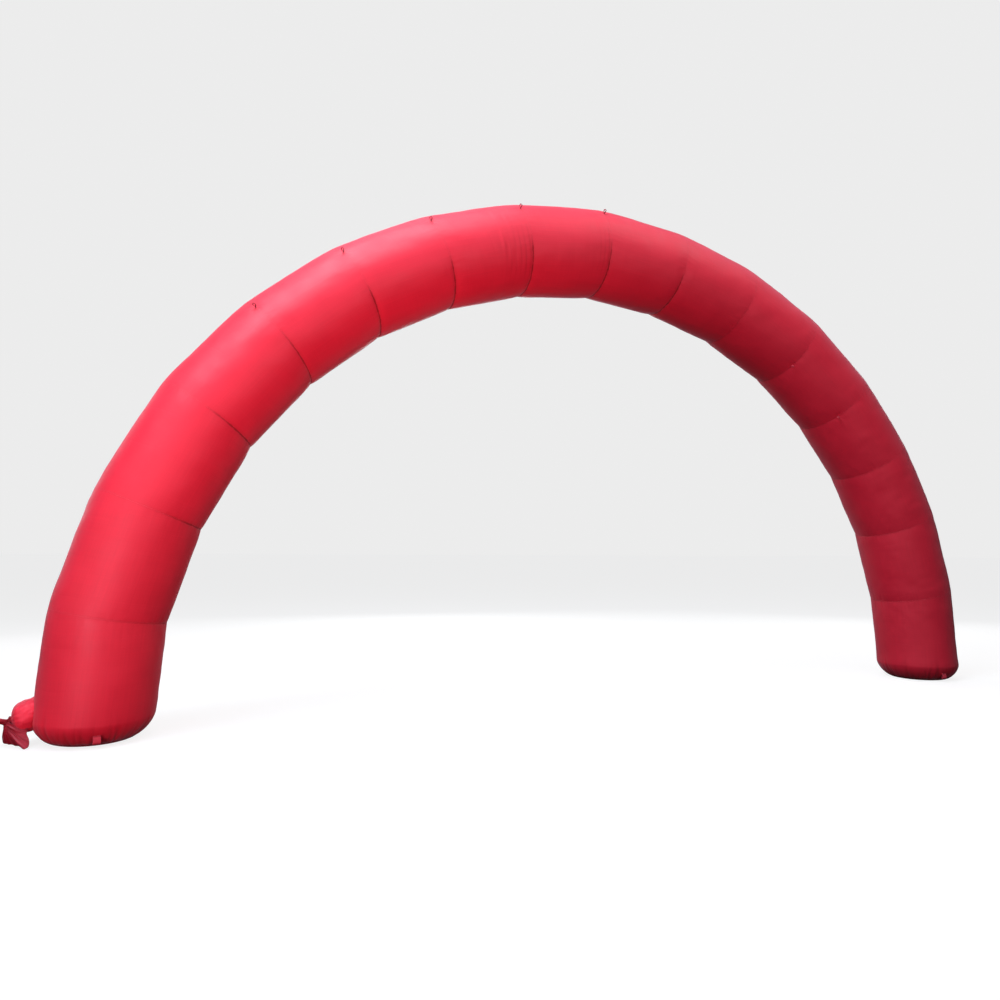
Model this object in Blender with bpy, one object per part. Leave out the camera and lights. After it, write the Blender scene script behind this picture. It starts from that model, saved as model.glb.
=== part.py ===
"""Inflatable arch: a sewn, air-filled tube that stands on its two round feet.

Metres, +Z up, the ground at z = 0. The arch spans along X, people walk through it along Y,
and its front, which carries the webbing loops, faces -Y. The origin is on the ground under
the middle of the arch with its filling sleeve.
"""

import math
from collections import namedtuple

import bmesh
import bpy
from mathutils import Matrix, Vector

# The tube: its outer span at the spring line, its radius and the arc that its middle follows
OUTER_SPAN = 10.0
TUBE_RADIUS = 0.449
CENTRE_RADIUS = OUTER_SPAN / 2 - TUBE_RADIUS
RISE_FACTOR = 0.994
SPRING_HEIGHT = 0.143
PANELS = 16
FRONT = Vector((0, -1, 0))
UP = Vector((0, 0, 1))

# The top of the arch leans a little to the front: a straight lean and a bow
LEAN_SLOPE = 0.0061
BOW_AT_CROWN = 0.018

# Seam by seam, how the sewn arch differs from an even one: degrees further round towards the
# left foot, metres further out than the arc, and degrees that the seam is turned off its mitre
Seam = namedtuple("Seam", "turn shift tilt")
SEAMS = {
    1: Seam(0.5, 0.003, 1.3),
    2: Seam(0.1, -0.005, 0.4),
    3: Seam(-0.4, 0.004, -0.4),
    4: Seam(-0.4, 0.002, -1.7),
    5: Seam(-0.3, 0.003, -1.5),
    6: Seam(0.1, -0.006, 0.3),
    7: Seam(0.2, -0.007, 0.1),
    8: Seam(0.3, 0.0, 1.9),
    9: Seam(0.1, -0.005, 0.2),
    10: Seam(0.0, 0.0, 0.3),
    11: Seam(-0.2, 0.004, 0.5),
    12: Seam(-0.4, 0.005, 0.9),
    13: Seam(0.0, 0.004, -0.9),
    14: Seam(0.3, 0.006, -0.8),
    15: Seam(0.0, -0.006, -0.2),
}

# The swell of one drum of cloth: how far along it, and how far its skin stands off the radius
Station = namedtuple("Station", "along swell")
SEAM_DRAW = 0.006
DRUM = (
    Station(0.0, -SEAM_DRAW),
    Station(0.06, 0.0),
    Station(0.5, 0.003),
    Station(0.94, 0.0),
    Station(1.0, -SEAM_DRAW),
)
SIDES = 40

# The feet: the wall goes on down in its panel's line, and its lower edge is gathered inwards
# along a superellipse to the seam of the flat base cloth
FOOT_OFFSET = 4.562
FOOT_SLOPE = 0.09
CORNER_INSET = 0.160
CORNER_HEIGHT = 0.183
CORNER_POWER = 1.61
BASE_SEAM_TURN = math.radians(62)
WALL_CORNER_STEPS = 4
BASE_CORNER_STEPS = 2

# The filling sleeve on the outer side of the left foot: its middle line from inside the foot
# to the tied neck, and its radius along that line
SLEEVE_ROOT = Vector((-4.90, -0.050, 0.240))
SLEEVE_NECK = Vector((-5.124, -0.080, 0.196))
NECK_RADIUS = 0.030
NECK_PLEAT = 0.002
NECK_HALF_LENGTH = 0.034
Swell = namedtuple("Swell", "along radius pleat")
BULB = (
    Swell(0.0, 0.112, 0.0),
    Swell(0.30, 0.120, 0.0),
    Swell(0.50, 0.124, 0.001),
    Swell(0.66, 0.121, 0.002),
    Swell(0.79, 0.109, 0.004),
    Swell(0.88, 0.088, 0.006),
    Swell(0.94, 0.060, 0.006),
    Swell(1.0 - NECK_HALF_LENGTH, NECK_RADIUS, NECK_PLEAT),
    Swell(1.0 + NECK_HALF_LENGTH, NECK_RADIUS, NECK_PLEAT),
)
PLEATS = 9
SLEEVE_SAMPLES = 28

# The sleeve's free end falls open from the neck. Each row is one rib of it, from the lobe that
# stands out to the left, down and round to the right: how far its end lies out to the left of
# the neck, in front of it and below it, and how far the rib swells forward on its way there
Rib = namedtuple("Rib", "out front drop swell")
TAIL = (
    Rib(0.140, 0.012, -0.046, 0.010),
    Rib(0.132, 0.024, -0.006, 0.022),
    Rib(0.055, 0.002, 0.026, 0.010),
    Rib(0.047, -0.030, 0.070, 0.006),
    Rib(0.070, -0.095, 0.176, 0.014),
    Rib(0.022, -0.046, 0.184, 0.030),
    Rib(-0.028, -0.006, 0.187, 0.012),
    Rib(-0.082, 0.075, 0.189, 0.045),
    Rib(-0.132, 0.162, 0.191, 0.030),
    Rib(-0.157, 0.158, 0.168, 0.020),
    Rib(-0.150, 0.118, 0.134, 0.040),
    Rib(-0.128, 0.090, 0.094, 0.045),
    Rib(-0.131, 0.084, 0.052, 0.060),
)
TAIL_STEPS = (0.12, 0.3, 0.5, 0.75, 1.0)
TAIL_LEAVES_BY = Vector((-0.030, -0.030, 0.0))
TAIL_EARLY_DROP = 0.35
TAIL_EDGE_SHARE = 0.4
TAIL_HALF_THICK = 0.0045
TAIL_NECK_THICK = 0.011
TIE_RADIUS = 0.005
TIE_CLEARANCE = 0.0008
TIE_SEGMENTS = 24
TIE_SIDES = 8

# Webbing loops: a strip folded into an eye over a sewn stem
Loop = namedtuple("Loop", "width reach eye stem thick")
SEAM_LOOP = Loop(width=0.016, reach=0.046, eye=0.020, stem=0.006, thick=0.0025)
FOOT_LOOP = Loop(width=0.055, reach=0.065, eye=0.016, stem=0.012, thick=0.003)
SEAM_LOOP_ANGLES = {4: 45, 5: 45, 6: 45, 7: 45, 8: 45, 11: 135, 12: 135}
FOOT_LOOP_ANGLE = 99
FOOT_LOOP_CORNER_STEP = 2
EYE_POINTS = 20
EYE_WIDEST = 0.77

# Cloth that is sewn together is kept this far apart, and a stem this far off the seam's slopes
GAP = 0.0003
STEM_CLEARANCE = 0.0009

# The free end reaches further left than the foot does, so the arch's middle is right of the origin
SLEEVE_REACH = TAIL[0].out - SLEEVE_NECK.x
FOOT_REACH = OUTER_SPAN / 2
MID_SPAN = (SLEEVE_REACH - FOOT_REACH) / 2

Cloth = namedtuple("Cloth", "colour roughness")
NYLON = Cloth((0.72, 0.030, 0.060, 1.0), 0.55)
WEBBING = Cloth((0.42, 0.015, 0.035, 1.0), 0.8)

# Edges that turn by more than this stay sharp when a piece is shaded
DRUM_SHARP_DEGREES = 30
SLEEVE_SHARP_DEGREES = 50

Ring = namedtuple("Ring", "centre outward along")


def make_material(name, cloth):
    """A plain Principled material."""
    material = bpy.data.materials.new(name)
    material.use_nodes = True
    shader = material.node_tree.nodes["Principled BSDF"]
    shader.inputs["Base Color"].default_value = cloth.colour
    shader.inputs["Roughness"].default_value = cloth.roughness
    shader.inputs["Metallic"].default_value = 0.0
    return material


def add_object(name, data, cloth, frame):
    """Put data into the scene as one named sub-part that hangs on the arch's frame."""
    obj = bpy.data.objects.new(name, data)
    obj.data.materials.append(make_material(name + "_cloth", cloth))
    obj.parent = frame
    bpy.data.collections["inflatable_arch"].objects.link(obj)
    return obj


def loft(name, rings):
    """A closed mesh through rings of equally many points, with a flat cap at each end."""
    mesh = bpy.data.meshes.new(name)
    shell = bmesh.new()
    rows = [[shell.verts.new(point) for point in ring] for ring in rings]
    for low, high in zip(rows, rows[1:]):
        for i in range(len(low)):
            after = (i + 1) % len(low)
            shell.faces.new((low[i], low[after], high[after], high[i]))
    shell.faces.new(rows[0])
    shell.faces.new(rows[-1])
    bmesh.ops.recalc_face_normals(shell, faces=shell.faces)
    shell.to_mesh(mesh)
    shell.free()
    return mesh


def smooth_sides(mesh, sharp_degrees=DRUM_SHARP_DEGREES):
    mesh.shade_smooth()
    mesh.set_sharp_from_angle(angle=math.radians(sharp_degrees))


def forward_lean(height):
    """How far the tube's middle is in front of the feet at a height above the spring line."""
    return LEAN_SLOPE * height + BOW_AT_CROWN * (height / CENTRE_RADIUS) ** 2


def seam_ring(number):
    """The plane of a seam: its centre, the way out of the arch and the way along the tube."""
    seam = SEAMS[number]
    angle = math.radians(180 - 180 * number / PANELS + seam.turn)
    reach = CENTRE_RADIUS + seam.shift
    height = reach * RISE_FACTOR * math.sin(angle)
    centre = Vector((reach * math.cos(angle), -forward_lean(height), SPRING_HEIGHT + height))
    facing = math.atan2(math.sin(angle), RISE_FACTOR * math.cos(angle)) + math.radians(seam.tilt)
    outward = Vector((math.cos(facing), 0, math.sin(facing)))
    return Ring(centre, outward, Vector((outward.z, 0, -outward.x)))


def foot_ring(side, height):
    """A level ring of the left (side -1) or right (side 1) foot."""
    centre = Vector((side * (FOOT_OFFSET - FOOT_SLOPE * height), 0, height))
    return Ring(centre, Vector((side, 0, 0)), Vector((0, 0, -side)))


def corner(turn):
    """Radius and height of the foot's gathered edge, from the wall (0) to the ground (90 degrees)."""
    power = 2 / CORNER_POWER
    radius = TUBE_RADIUS - CORNER_INSET * (1 - math.cos(turn) ** power)
    height = CORNER_HEIGHT * (1 - math.sin(turn) ** power)
    return radius, height


def spoke(ring, degrees):
    """The direction of a point on a ring: 0 is out of the arch, 90 the front, 180 inwards."""
    turn = math.radians(degrees)
    return ring.outward * math.cos(turn) + FRONT * math.sin(turn)


def ring_points(ring, radius):
    return [ring.centre + spoke(ring, 360 * i / SIDES) * radius for i in range(SIDES)]


def drum_points(start, end, station, grow):
    """One ring of a drum of cloth between two rings of the tube."""
    radius = TUBE_RADIUS + station.swell + grow
    low = ring_points(start, radius)
    high = ring_points(end, radius)
    return [a.lerp(b, station.along) for a, b in zip(low, high)]


def moved(ring, distance):
    """The same ring further along the tube."""
    return ring._replace(centre=ring.centre + ring.along * distance)


def corner_points(side, turn, grow):
    radius, height = corner(turn)
    return ring_points(foot_ring(side, height), radius + grow)


def foot_panel_rings(side, grow):
    """Rings of the first or last panel, from the base seam up to its ring seam."""
    turns = [BASE_SEAM_TURN * (1 - i / WALL_CORNER_STEPS) for i in range(WALL_CORNER_STEPS)]
    rings = [corner_points(side, turn, grow) for turn in turns]
    top = foot_ring(side, CORNER_HEIGHT)
    first_seam = 1 if side < 0 else PANELS - 1
    seam = moved(seam_ring(first_seam), side * GAP / 2)
    wall = (Station(0.0, 0.0),) + DRUM[2:]
    rings += [drum_points(top, seam, station, grow) for station in wall]
    return rings


def tube_panel_rings(number, grow=0.0):
    if number == 1:
        return foot_panel_rings(-1, grow)
    if number == PANELS:
        return foot_panel_rings(1, grow)
    start = moved(seam_ring(number - 1), GAP / 2)
    end = moved(seam_ring(number), -GAP / 2)
    return [drum_points(start, end, station, grow) for station in DRUM]


def add_tube_panels(frame):
    for number in range(1, PANELS + 1):
        name = f"tube_panel_{number:02d}"
        mesh = loft(name, tube_panel_rings(number))
        smooth_sides(mesh)
        add_object(name, mesh, NYLON, frame)


def add_base_panels(frame):
    """The round end cloths, flat on the ground, just under their gathered seams."""
    for side, name in ((-1, "base_panel_left"), (1, "base_panel_right")):
        radius, height = corner(BASE_SEAM_TURN)
        rings = [ring_points(foot_ring(side, height - GAP), radius)]
        for i in range(1, BASE_CORNER_STEPS + 1):
            part_way = BASE_SEAM_TURN + (math.pi / 2 - BASE_SEAM_TURN) * i / BASE_CORNER_STEPS
            rings.append(corner_points(side, part_way, 0.0))
        mesh = loft(name, rings)
        smooth_sides(mesh)
        add_object(name, mesh, NYLON, frame)


def sleeve_turns():
    """Where a ring's samples lie round the sleeve: down the front, then back up behind."""
    count = 2 * SLEEVE_SAMPLES
    return [2 * math.pi * (i + 0.5) / count for i in range(count)]


def sleeve_ring(along, radius, pleat):
    """A pleated ring of the sleeve, square to its middle line."""
    axis = (SLEEVE_NECK - SLEEVE_ROOT).normalized()
    ahead = FRONT - axis * FRONT.dot(axis)
    ahead.normalize()
    up = axis.cross(ahead)
    centre = SLEEVE_ROOT.lerp(SLEEVE_NECK, along)
    points = []
    for turn in sleeve_turns():
        reach = radius + pleat * math.cos(PLEATS * turn)
        points.append(centre + (up * math.cos(turn) + ahead * math.sin(turn)) * reach)
    return points


def between_ribs(share):
    """The tail's rib at a share of the way from the first one to the last, by a smooth curve."""
    place = share * (len(TAIL) - 1)
    first = min(int(place), len(TAIL) - 2)
    t = place - first
    rows = [TAIL[min(max(first + i, 0), len(TAIL) - 1)] for i in (-1, 0, 1, 2)]
    mixed = []
    for before, low, high, after in zip(*rows):
        bend = (high - before) / 2
        next_bend = (after - low) / 2
        curve = (2 * t**3 - 3 * t**2 + 1) * low + (3 * t**2 - 2 * t**3) * high
        mixed.append(curve + (t**3 - 2 * t**2 + t) * bend + (t**3 - t**2) * next_bend)
    return Rib(*mixed)


def tail_start():
    """The middle of the last ring of the drawn-in neck."""
    return SLEEVE_ROOT.lerp(SLEEVE_NECK, BULB[-1].along)


def tail_point(share, run):
    """A point of the tail's middle surface: share across the ribs, run from neck to hem."""
    rib = between_ribs(share)
    start = tail_start()
    hem = SLEEVE_NECK + Vector((-rib.out, -rib.front, -rib.drop))
    pull = start + TAIL_LEAVES_BY + FRONT * rib.swell - UP * TAIL_EARLY_DROP * rib.drop
    return start.lerp(pull, run).lerp(pull.lerp(hem, run), run)


def tail_ring(run, neck):
    """A flattened ring of the tail: its front from left to right, then its back."""
    step = 0.01  # a short way along or across it, to see which way it faces
    front = []
    back = []
    for i in range(SLEEVE_SAMPLES):
        share = i / (SLEEVE_SAMPLES - 1)
        place = tail_point(share, run)
        across = tail_point(min(share + step, 1), run) - tail_point(max(share - step, 0), run)
        down = tail_point(share, run) - tail_point(share, run - step)
        facing = across.cross(down).normalized()
        if facing.y > 0:
            facing.negate()
        half = TAIL_HALF_THICK + (TAIL_NECK_THICK - TAIL_HALF_THICK) * (1 - run) ** 2
        if i in (0, SLEEVE_SAMPLES - 1):
            half *= TAIL_EDGE_SHARE
        front.append(place + facing * half)
        back.append(place - facing * half)
    settle = min(1.0, run * 3)
    ring = front + back[::-1]
    return [gathered.lerp(fallen, settle) for gathered, fallen in zip(neck, ring)]


def add_sleeve(frame):
    """The puffed sleeve with its drawn-in neck and fallen open end, cut to the foot's wall."""
    rings = [sleeve_ring(*row) for row in BULB]
    neck = rings[-1]
    rings += [tail_ring(run, neck) for run in TAIL_STEPS]
    mesh = loft("inflation_sleeve", rings)
    smooth_sides(mesh, SLEEVE_SHARP_DEGREES)
    sleeve = add_object("inflation_sleeve", mesh, NYLON, frame)

    cutter_mesh = loft("foot_wall_cutter", tube_panel_rings(1, GAP))
    cutter = bpy.data.objects.new("foot_wall_cutter", cutter_mesh)
    cutter.parent = frame
    cutter.hide_render = True
    cutter.display_type = "WIRE"
    bpy.data.collections["cutters"].objects.link(cutter)

    cut = sleeve.modifiers.new("foot_wall", "BOOLEAN")
    cut.operation = "DIFFERENCE"
    cut.solver = "EXACT"
    cut.object = cutter


def add_sleeve_tie(frame):
    """The cord round the sleeve's neck."""
    axis = (SLEEVE_NECK - SLEEVE_ROOT).normalized()
    bpy.ops.mesh.primitive_torus_add(
        major_radius=NECK_RADIUS + NECK_PLEAT + TIE_RADIUS + TIE_CLEARANCE,
        minor_radius=TIE_RADIUS,
        major_segments=TIE_SEGMENTS,
        minor_segments=TIE_SIDES,
    )
    torus = bpy.context.object
    mesh = torus.data
    mesh.transform(Matrix.Translation(SLEEVE_NECK) @ axis.to_track_quat("Z", "X").to_matrix().to_4x4())
    bpy.data.objects.remove(torus)
    mesh.name = "sleeve_tie"
    smooth_sides(mesh)
    add_object("sleeve_tie", mesh, WEBBING, frame)


def eye_outline(half_width, low, high):
    """A drop shape with its point down, from low to high."""
    points = []
    for i in range(EYE_POINTS):
        turn = 2 * math.pi * i / EYE_POINTS
        side = math.sin(turn) * math.sin(turn / 2) / EYE_WIDEST
        points.append((half_width * side, low + (high - low) * (1 - math.cos(turn)) / 2))
    return points


def add_spline(curve, points):
    spline = curve.splines.new("POLY")
    spline.points.add(len(points) - 1)
    for place, (x, y) in zip(spline.points, points):
        place.co = (x, y, 0, 1)
    spline.use_cyclic_u = True


def loop_curve(name, loop):
    """A strip seen along its eye: a stem of two layers that opens into a drop-shaped loop."""
    curve = bpy.data.curves.new(name, "CURVE")
    curve.dimensions = "2D"
    curve.fill_mode = "BOTH"
    curve.extrude = loop.width / 2
    eye = eye_outline(loop.eye / 2, loop.stem, loop.reach - loop.thick)
    skin = eye_outline(loop.eye / 2 + loop.thick, loop.stem - 2 * loop.thick, loop.reach)
    wide = [point for point in skin if abs(point[0]) >= loop.thick and point[1] > loop.stem / 2]
    add_spline(curve, [(loop.thick, 0)] + wide + [(-loop.thick, 0)])
    add_spline(curve, eye)
    return curve


def place_loop(name, loop, root, thickness_way, reach_way, frame):
    """Stand a loop on its root, with its eye's axis square to both directions."""
    curve = loop_curve(name, loop)
    obj = add_object(name, curve, WEBBING, frame)
    eye_way = thickness_way.cross(reach_way).normalized()
    axes = Matrix((thickness_way, reach_way, eye_way)).transposed().to_4x4()
    obj.matrix_local = Matrix.Translation(root) @ axes


def add_seam_loops(frame):
    """Loops caught in the ring seams, standing straight out of the tube."""
    for number, degrees in SEAM_LOOP_ANGLES.items():
        ring = seam_ring(number)
        out = spoke(ring, degrees)
        root = ring.centre + out * (TUBE_RADIUS - SEAM_DRAW + STEM_CLEARANCE)
        place_loop(f"seam_loop_{number:02d}", SEAM_LOOP, root, ring.along, out, frame)


def add_foot_loops(frame):
    """A wider loop hanging down the front of each foot, just above the base seam."""
    radius, height = corner(BASE_SEAM_TURN * FOOT_LOOP_CORNER_STEP / WALL_CORNER_STEPS)
    for side, name in ((-1, "foot_loop_left"), (1, "foot_loop_right")):
        ring = foot_ring(side, height)
        out = spoke(ring, FOOT_LOOP_ANGLE)
        root = ring.centre + out * (radius + GAP + FOOT_LOOP.thick)
        place_loop(name, FOOT_LOOP, root, out, -UP, frame)


def clear_scene():
    for obj in list(bpy.data.objects):
        bpy.data.objects.remove(obj)


def main():
    clear_scene()
    for name in ("inflatable_arch", "cutters"):
        collection = bpy.data.collections.new(name)
        bpy.context.scene.collection.children.link(collection)
    frame = bpy.data.objects.new("arch_frame", None)
    frame.location = (MID_SPAN, 0, 0)
    bpy.data.collections["inflatable_arch"].objects.link(frame)

    add_tube_panels(frame)
    add_base_panels(frame)
    add_sleeve(frame)
    add_sleeve_tie(frame)
    add_seam_loops(frame)
    add_foot_loops(frame)
    bpy.context.view_layer.update()


main()
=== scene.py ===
"""Looks of the inflatable arch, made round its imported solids.

Metres, +Z up, the ground at z = 0 and the front towards -Y, as in the solids' own source. The
shape rules of the tube, its feet and its filling sleeve are the source's, and this script adds
the cloth's own form to them: pillowed drums, drawn-in seams, puckers, gathers and folds.
"""

import math
from collections import namedtuple

import bmesh
import bpy
import numpy as np
from mathutils import Matrix, Vector
from mathutils.bvhtree import BVHTree


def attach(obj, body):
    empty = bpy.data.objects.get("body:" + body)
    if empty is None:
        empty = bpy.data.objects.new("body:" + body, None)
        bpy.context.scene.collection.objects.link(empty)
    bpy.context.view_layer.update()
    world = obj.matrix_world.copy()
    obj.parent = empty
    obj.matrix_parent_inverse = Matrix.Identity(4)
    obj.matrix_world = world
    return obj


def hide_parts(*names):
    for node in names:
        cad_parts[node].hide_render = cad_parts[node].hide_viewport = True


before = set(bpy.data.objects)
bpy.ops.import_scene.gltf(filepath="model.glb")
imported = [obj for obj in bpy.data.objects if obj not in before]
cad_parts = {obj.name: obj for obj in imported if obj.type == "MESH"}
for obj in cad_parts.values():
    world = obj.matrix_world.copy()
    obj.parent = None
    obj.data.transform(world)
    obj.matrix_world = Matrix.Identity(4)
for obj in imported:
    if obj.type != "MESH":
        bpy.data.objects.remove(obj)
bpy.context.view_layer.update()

# The tube, as the solids' source has it
TUBE_RADIUS = 0.449
CENTRE_RADIUS = 4.551
RISE_FACTOR = 0.994
SPRING_HEIGHT = 0.143
PANELS = 16
MID_SPAN = 0.132
LEAN_SLOPE = 0.0061
BOW_AT_CROWN = 0.018
FOOT_OFFSET = 4.562
FOOT_SLOPE = 0.09
CORNER_INSET = 0.160
CORNER_HEIGHT = 0.183
CORNER_POWER = 1.61
BASE_SEAM_TURN = math.radians(62)
# Each seam, by number from the left foot: how it is turned, shifted and tilted off an even arch, and
# how dark and sharp its line is. That line is painted shade of the seam's groove, and its strength also
# sets how deep the groove is away from the outer side. The line shows from one angle round the tube and
# is plainest from the next on. The outer side keeps only a trace of it
Seam = namedtuple("Seam", "turn shift tilt shows plain strength")
SEAMS = dict(enumerate((
    Seam(0.5, 0.003, 1.3, 75, 150, 0.40),
    Seam(0.1, -0.005, 0.4, 95, 135, 0.70),
    Seam(-0.4, 0.004, -0.4, 85, 118, 0.90),
    Seam(-0.4, 0.002, -1.7, 84, 118, 1.00),
    Seam(-0.3, 0.003, -1.5, 96, 116, 1.00),
    Seam(0.1, -0.006, 0.3, 98, 116, 1.00),
    Seam(0.2, -0.007, 0.1, 90, 108, 0.95),
    Seam(0.3, 0.0, 1.9, 90, 108, 0.95),
    Seam(0.1, -0.005, 0.2, 106, 124, 0.90),
    Seam(0.0, 0.0, 0.3, 108, 150, 0.20),
    Seam(-0.2, 0.004, 0.5, 118, 150, 0.14),
    Seam(-0.4, 0.005, 0.9, 118, 150, 0.16),
    Seam(0.0, 0.004, -0.9, 100, 150, 0.14),
    Seam(0.3, 0.006, -0.8, 80, 140, 0.20),
    Seam(0.0, -0.006, -0.2, 60, 140, 0.20),
), 1))
OUTER_TRACE = 0.05
LINE_WANDER = 0.18
GAP = 0.0003
FRONT = np.array([0.0, -1.0, 0.0])
UP = np.array([0.0, 0.0, 1.0])

# How finely the drums are meshed: points round the tube, and rows from each seam to mid-drum
AROUND = 320
SEAM_ROWS = (0, 0.004, 0.009, 0.015, 0.022, 0.030, 0.039, 0.049, 0.060, 0.072, 0.085, 0.10, 0.117,
             0.136, 0.158, 0.183, 0.211, 0.242, 0.276, 0.313, 0.354, 0.40, 0.45, 0.5)
# Rows in the lower half of a foot's wall, in its gathered corner and in its base cloth
FOOT_ROWS = 7
CORNER_ROWS = 22
BASE_ROWS = 8

# Angles round the tube from its outer side, how deep a seam is drawn in there, and over what
# distance from it the cloth comes back out: the cloth rounds the outward kink and folds at the
# inward one
SEAM_DRAWS = np.array((
    (0, 0.0078, 0.092),
    (45, 0.0038, 0.058),
    (80, 0.0032, 0.026),
    (110, 0.0048, 0.018),
    (150, 0.0064, 0.020),
    (180, 0.0070, 0.022),
)).T

# The cloth simulation that blows a drum up. A drum starts a little smaller than the tube and
# slightly uneven, its cloth is a little longer than that, and its seams are held
SIM_AROUND = 160
SIM_ROWS = 27
SIM_FRAMES = 20
SIM_PRESSURE = 4.0
SIM_SPARE_CLOTH = 0.003
SIM_START_DRAW = 0.001
SIM_START_UNEVEN = 0.0006
# How far a point may move in mid-drum. The cap falls to nothing at the seams
SIM_CAP = 0.0065
# A foot's drum is simulated from this far below its wall, where the ring held stays out of sight
SIM_FOOT_BELOW = 0.30

# Where the webbing loops are sewn in: the angle round the tube, by seam, and on the feet
SEAM_LOOP_ANGLES = {4: 45, 5: 45, 6: 45, 7: 45, 8: 45, 11: 135, 12: 135}
FOOT_LOOP_ANGLE = 99

Ring = namedtuple("Ring", "centre outward")


def forward_lean(height):
    return LEAN_SLOPE * height + BOW_AT_CROWN * (height / CENTRE_RADIUS) ** 2


def seam_ring(number):
    """The plane of a seam: its centre and its way out of the arch."""
    seam = SEAMS[number]
    angle = math.radians(180 - 180 * number / PANELS + seam.turn)
    reach = CENTRE_RADIUS + seam.shift
    height = reach * RISE_FACTOR * math.sin(angle)
    centre = (reach * math.cos(angle) + MID_SPAN, -forward_lean(height), SPRING_HEIGHT + height)
    facing = math.atan2(math.sin(angle), RISE_FACTOR * math.cos(angle)) + math.radians(seam.tilt)
    return Ring(np.array(centre), np.array([math.cos(facing), 0, math.sin(facing)]))


def foot_ring(side, height):
    """A level ring of the left (side -1) or right (side 1) foot."""
    across = side * (FOOT_OFFSET - FOOT_SLOPE * height) + MID_SPAN
    return Ring(np.array([across, 0, height]), np.array([float(side), 0, 0]))


def moved(ring, distance):
    along = np.array([ring.outward[2], 0, -ring.outward[0]])
    return ring._replace(centre=ring.centre + along * distance)


def corner(turn):
    """Radius and height of the foot's gathered edge, from the wall (0) to the ground (90 degrees)."""
    power = 2 / CORNER_POWER
    radius = TUBE_RADIUS - CORNER_INSET * (1 - max(math.cos(turn), 0.0) ** power)
    return radius, CORNER_HEIGHT * (1 - math.sin(turn) ** power)


def even_turns(count):
    return 2 * np.pi * np.arange(count) / count


TURN = even_turns(AROUND)
# The same in degrees, mirrored for the back of the tube
FOLDED = np.minimum(np.degrees(TURN), 360 - np.degrees(TURN))


def spokes(ring, turns=TURN):
    """The directions of a ring's points: 0 is out of the arch, a quarter turn the front."""
    return ring.outward * np.cos(turns)[:, None] + FRONT * np.sin(turns)[:, None]


# The cloth's own form


def waves(points, seed, shortest, longest, count=18):
    """Smooth noise of about unit size: a sum of plane waves with random directions."""
    random = np.random.default_rng(seed)
    total = np.zeros(points.shape[:-1])
    for _ in range(count):
        way = random.normal(size=3)
        way /= np.linalg.norm(way)
        length = math.exp(random.uniform(math.log(shortest), math.log(longest)))
        total += np.sin(points @ way * (2 * np.pi / length) + random.uniform(0, 2 * np.pi))
    return total / math.sqrt(count / 2)


DRAW_DEPTH, DRAW_WIDTH = (np.interp(FOLDED, SEAM_DRAWS[0], row) for row in SEAM_DRAWS[1:])

# Puckers that run from a seam out into the drum
Pucker = namedtuple("Pucker", "count depth width near far")
SEAM_PUCKER = Pucker(count=70, depth=0.0022, width=0.013, near=0.03, far=0.11)
FOOT_PUCKER = Pucker(count=62, depth=0.0125, width=0.013, near=0.07, far=0.16)


def curved(t, low, high, low_slope, high_slope):
    """A smooth step from low to high with given slopes at its ends."""
    step = (2 * t ** 3 - 3 * t ** 2 + 1) * low + (3 * t ** 2 - 2 * t ** 3) * high
    return step + (t ** 3 - 2 * t ** 2 + t) * low_slope + (t ** 3 - t ** 2) * high_slope


def read_between(table, shares):
    """The rows of a table, read at shares of the way from its first to its last, on a smooth curve."""
    last = len(table) - 1
    place = shares * last
    first = np.clip(place.astype(int), 0, last - 1)
    t = (place - first).reshape((-1,) + (1,) * (table.ndim - 1))
    before, low, high, after = (table[np.clip(first + i, 0, last)] for i in (-1, 0, 1, 2))
    return curved(t, low, high, (high - before) / 2, (after - low) / 2)


def angle_gap(a, b):
    return (a - b + np.pi) % (2 * np.pi) - np.pi


def puckers(seed, kind, distance, weight):
    """How deep the cloth is tucked at each point, by its distance from the seam."""
    random = np.random.default_rng(seed)
    total = np.zeros(distance.shape)
    for k in range(kind.count):
        middle = 2 * np.pi * (k + random.uniform(-0.42, 0.42)) / kind.count
        depth = kind.depth * random.uniform(0.25, 1.0)
        width = kind.width * random.uniform(0.7, 1.5)
        reach = random.uniform(kind.near, kind.far)
        lean = random.uniform(-0.25, 0.25)
        gap = angle_gap(TURN, middle) * TUBE_RADIUS + lean * distance
        along = np.clip(distance / 0.012, 0, 1) * np.exp(-((distance / reach) ** 2))
        total += depth * along * np.exp(-((gap / width) ** 2))
    return total * weight


def bump_window(angle, middle, half):
    """1 at the middle angle in degrees, falling to 0 at half on each side."""
    away = np.abs(np.degrees(angle_gap(angle, math.radians(middle))))
    return np.clip(1 - (away / half) ** 2, 0, 1) ** 2


def seam_line(number):
    """How strongly a seam's line shows at each point of its ring, from 0 to 1."""
    seam = SEAMS[number]
    grown = np.clip((FOLDED - seam.shows) / (seam.plain - seam.shows), 0, 1)
    wander = 1 + LINE_WANDER * np.sin(5 * TURN + number) * np.sin(9 * TURN + 2 * number)
    return np.clip((OUTER_TRACE + (seam.strength - OUTER_TRACE) * grown) * wander, 0, 1)


# Creases that run beside a seam on the drum before it, where the bend squeezes the cloth:
# seam, the middle angle round the tube, half its reach, how deep the first one is, how far apart
# they are and over what distance they fade
Crease = namedtuple("Crease", "seam angle half depth spacing fade")
CREASES = (
    Crease(3, 225, 40, 0.0010, 0.040, 0.105),
    Crease(6, 230, 40, 0.0010, 0.040, 0.105),
    Crease(7, 110, 46, 0.0012, 0.053, 0.260),
    Crease(8, 104, 42, 0.0012, 0.050, 0.120),
    Crease(9, 228, 36, 0.0010, 0.040, 0.105),
    Crease(12, 235, 40, 0.0010, 0.040, 0.105),
)
CREASE_SHARP = 4
# How close the rows of points are along the creases
CREASE_ROW = 0.0075
# Those rows start this far from the seam, and end at this many times the creases' fade
CREASE_START = 0.03
CREASE_END = 1.3
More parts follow.
